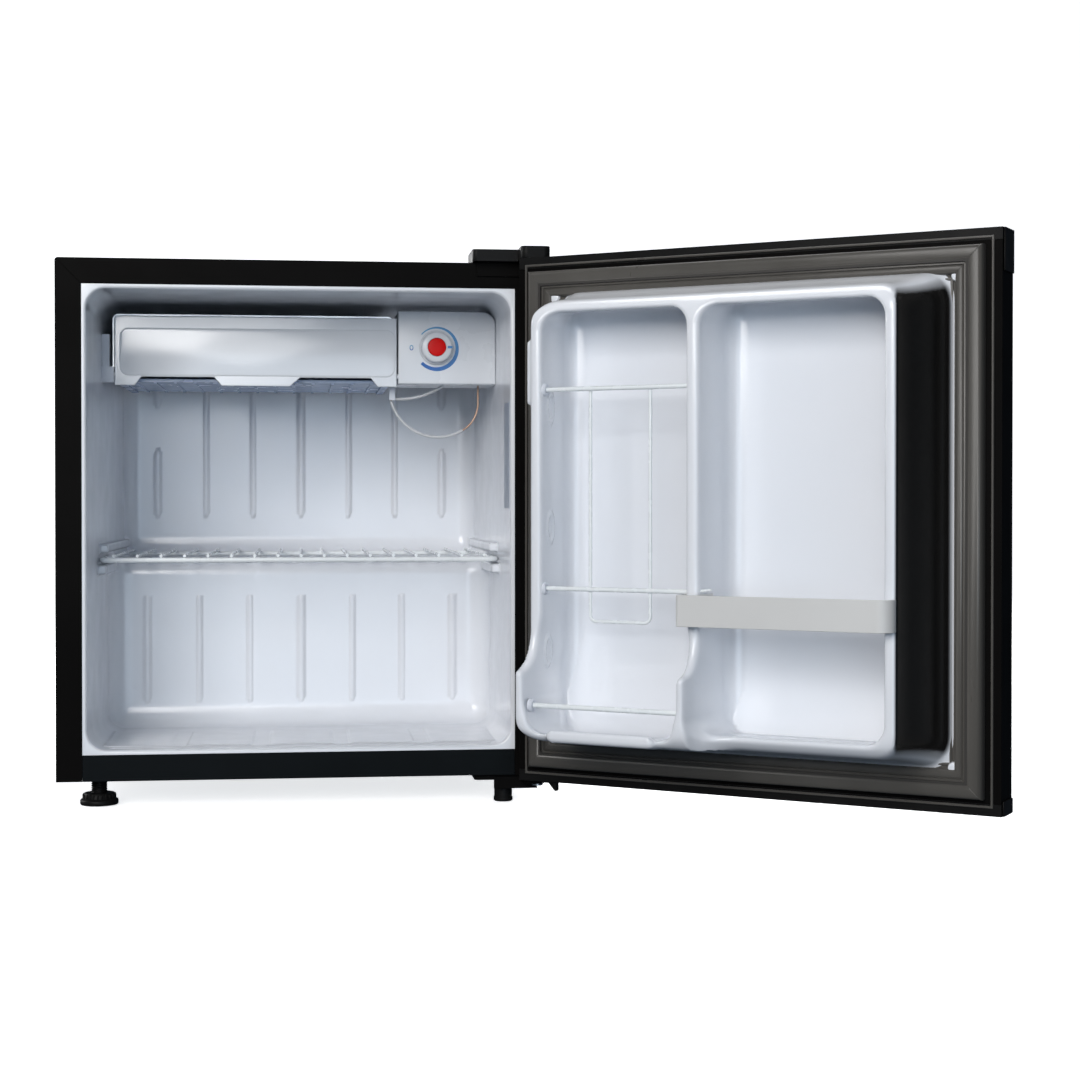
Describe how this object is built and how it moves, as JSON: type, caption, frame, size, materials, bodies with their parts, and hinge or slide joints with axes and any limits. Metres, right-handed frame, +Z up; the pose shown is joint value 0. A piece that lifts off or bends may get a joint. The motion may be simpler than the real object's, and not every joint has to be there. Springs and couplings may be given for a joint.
{
  "type": "mini fridge",
  "caption": "Compact refrigerator with a side-hinged door, a freezer box with a drop-down flap, a wire shelf, moulded door bins with a can rack, a drip tray and a rotary thermostat.",
  "frame": {"origin": "on the floor, under the middle of the box round the whole fridge as it stands with its door open", "axes": "+X to the right seen from the front, along the cabinet front; +Y to the back; +Z up"},
  "size_m": [0.8016, 0.7594, 0.515],
  "materials": {
    "painted_black": "satin black paint",
    "rail_black": "satin",
    "zinc_sheet": "zinc coated sheet",
    "deck_black": "matt black paint",
    "foam": "rigid foam",
    "liner_white": "gloss white",
    "label": "printed film",
    "black_plastic": "fine grain",
    "compressor_black": "gloss black paint",
    "rubber_black": "matt",
    "copper": "copper tube",
    "screw_steel": "zinc plated",
    "pin_steel": "turned",
    "aluminium": "satin",
    "post_white": "satin",
    "tray_blue": "frosted translucent",
    "flap_white": "satin",
    "box_white": "satin",
    "dial_blue": "print",
    "sleeve_grey": "soft sleeve",
    "gasket_rubber": "soft matt",
    "magnet": "matt",
    "bush_white": "satin",
    "wire_white": "white coating",
    "bar_grey": "satin",
    "knob_red": "gloss"
  },
  "bodies": {
    "cabinet": {"outer_shell": "painted_black", "base_rail": "rail_black", "base_pan": "zinc_sheet", "back_panel": "painted_black", "bay_panel": "zinc_sheet", "compressor_deck": "deck_black", "insulation": "foam", "inner_liner": "liner_white", "liner_label": "label", "hole_plugs": "black_plastic", "compressor": "compressor_black", "grommets": "rubber_black", "start_relay": "black_plastic", "mains_inlet": "black_plastic", "filter_drier": "copper", "discharge_line": "copper", "suction_line": "copper", "case_screws": "screw_steel", "foam_plug": "black_plastic", "rear_feet": "black_plastic", "hinge_foot": "black_plastic", "top_bracket": "painted_black", "top_cover": "black_plastic", "top_pin": "pin_steel", "low_bracket": "painted_black", "low_pin": "pin_steel", "hinge_screws": "screw_steel", "evaporator": "aluminium", "evaporator_posts": "post_white", "tray_rails": "tray_blue", "flap_bracket": "post_white", "thermostat_box": "box_white", "thermostat_body": "zinc_sheet", "dial_print": "dial_blue", "lead_sleeves": "sleeve_grey", "capillary": "copper", "bulb_clip": "post_white", "drip_tray": "tray_blue"},
    "door": {"door_skin": "painted_black", "door_top_cap": "black_plastic", "door_low_cap": "black_plastic", "door_foam": "foam", "door_liner": "liner_white", "gasket": "gasket_rubber", "gasket_magnet": "magnet", "hinge_bushes": "bush_white", "can_rack": "wire_white", "trough_rod": "wire_white", "rod_ferrules": "post_white", "retainer_bar": "bar_grey"},
    "freezer_flap": {"freezer_flap": "flap_white"},
    "thermostat_knob": {"knob": "box_white", "knob_cap": "knob_red", "knob_pointer": "dial_blue", "spindle": "pin_steel"},
    "wire_shelf": {"shelf_frame": "wire_white", "shelf_wires": "wire_white"},
    "foot_stud": {"foot_stud": "black_plastic"},
    "foot_pad": {"foot_pad": "black_plastic"}
  },
  "joints": [
    {"name": "door_hinge", "type": "hinge", "parent": "cabinet", "child": "door", "pos_m": [0.03753, -0.07163, 0.265], "axis": [0, 0, 1], "range_deg": [-144.5, 25]},
    {"name": "freezer_flap_hinge", "type": "hinge", "parent": "cabinet", "child": "freezer_flap", "pos_m": [-0.22127, 0.09187, 0.4053], "axis": [1, 0, 0], "range_deg": [0, 90]},
    {"name": "thermostat_turn", "type": "hinge", "parent": "cabinet", "child": "thermostat_knob", "pos_m": [-0.04457, 0.08187, 0.4339], "axis": [0, 1, 0], "range_deg": [-180, 135]},
    {"name": "shelf_slide", "type": "slide", "parent": "cabinet", "child": "wire_shelf", "axis": [0, -1, 0], "range_m": [0, 0.22]},
    {"name": "foot_lift", "type": "slide", "parent": "cabinet", "child": "foot_stud", "axis": [0, 0, -1], "range_m": [-0.006, 0.006]},
    {"name": "foot_turn", "type": "hinge", "parent": "foot_stud", "child": "foot_pad", "pos_m": [-0.36477, -0.00813, 0.005], "axis": [0, 0, -1], "range_deg": [-1080, 1080]}
  ],
  "couplings": [
    {"joint": "foot_lift", "follows": "foot_turn", "m_per_rad": 0.00031831}
  ]
}
